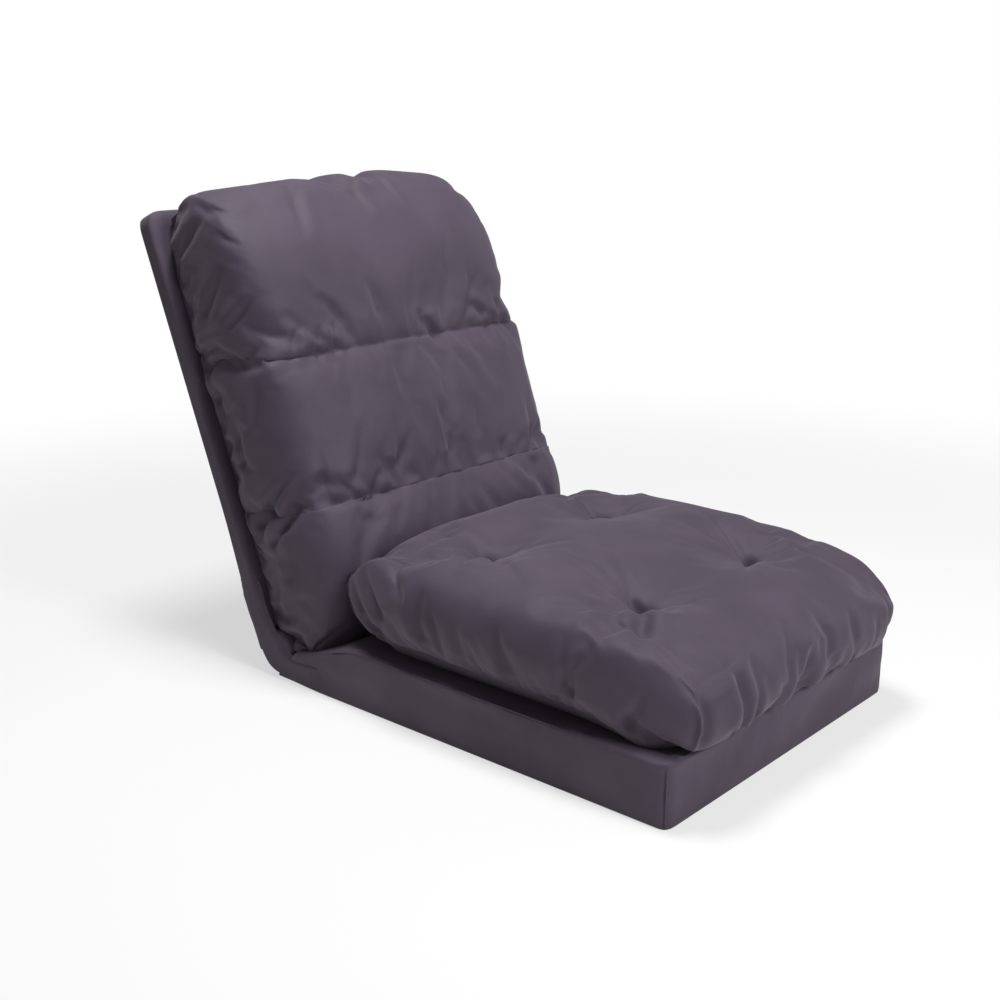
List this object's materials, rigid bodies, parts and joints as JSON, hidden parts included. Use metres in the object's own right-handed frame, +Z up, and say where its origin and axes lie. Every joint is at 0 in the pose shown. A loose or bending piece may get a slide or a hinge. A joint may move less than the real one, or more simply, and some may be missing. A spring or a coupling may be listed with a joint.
{
  "type": "folding floor chair",
  "caption": "Padded floor chair with a reclining back on ratchet hinges and a tufted seat cushion that flips over forwards.",
  "frame": {"origin": "on the floor, under the middle of the base slab", "axes": "+Z up, +X to the sitter's left, the sitter faces -Y"},
  "size_m": [0.61, 1.0814, 0.7912],
  "materials": {
    "cover_cloth": "matte",
    "underside_cloth": "matte",
    "sewn_tape": "matte",
    "thread": "matte",
    "foam": "matte",
    "filling": "matte",
    "frame_steel": "satin",
    "hinge_steel": "satin",
    "spring_steel": "satin",
    "nylon": "satin"
  },
  "bodies": {
    "base": {"base_frame_tube": "frame_steel", "base_middle_cross_tube": "frame_steel", "base_rear_cross_tube": "frame_steel", "base_core_front": "foam", "base_core_rear": "foam", "base_foam_lower": "foam", "base_foam_upper": "foam", "base_cover": "cover_cloth", "base_underside_cloth": "underside_cloth", "seat_hinge_tape": "sewn_tape", "hinge_gusset": "cover_cloth", "hinge_foam_roll": "foam", "hinge_plate_left": "hinge_steel", "hinge_plate_right": "hinge_steel", "hinge_pin_left": "hinge_steel", "hinge_pin_right": "hinge_steel", "hinge_washer_left": "nylon", "hinge_washer_right": "nylon"},
    "seat": {"seat_cushion_cover": "cover_cloth", "seat_cushion_fill": "filling", "seat_tuft_threads": "thread"},
    "back": {"back_frame_tube": "frame_steel", "back_lower_cross_tube": "frame_steel", "back_upper_cross_tube": "frame_steel", "back_core_lower": "foam", "back_core_upper": "foam", "back_foam_front": "foam", "back_foam_rear": "foam", "back_panel_cover": "cover_cloth", "back_cushion_cover": "cover_cloth", "back_fill_bottom": "filling", "back_fill_middle": "filling", "back_fill_top": "filling", "hinge_arm_left": "hinge_steel", "hinge_arm_right": "hinge_steel", "pawl_pin_left": "hinge_steel", "pawl_pin_right": "hinge_steel", "pawl_spring_left": "spring_steel", "pawl_spring_right": "spring_steel"},
    "pawl_left": {"pawl_left": "hinge_steel"},
    "pawl_right": {"pawl_right": "hinge_steel"}
  },
  "joints": [
    {"name": "back_recline", "type": "hinge", "parent": "base", "child": "back", "pos_m": [0, 0.375, 0.045], "axis": [-1, 0, 0], "range_deg": [-4, 68]},
    {"name": "seat_flip", "type": "hinge", "parent": "base", "child": "seat", "pos_m": [0, -0.4, 0.0955], "axis": [1, 0, 0], "range_deg": [0, 180]},
    {"name": "pawl_left_swing", "type": "hinge", "parent": "back", "child": "pawl_left", "pos_m": [-0.269, 0.35587, 0.06406], "axis": [1, 0, 0], "range_deg": [-12, 0]},
    {"name": "pawl_right_swing", "type": "hinge", "parent": "back", "child": "pawl_right", "pos_m": [0.269, 0.35587, 0.06406], "axis": [1, 0, 0], "range_deg": [-12, 0]}
  ]
}
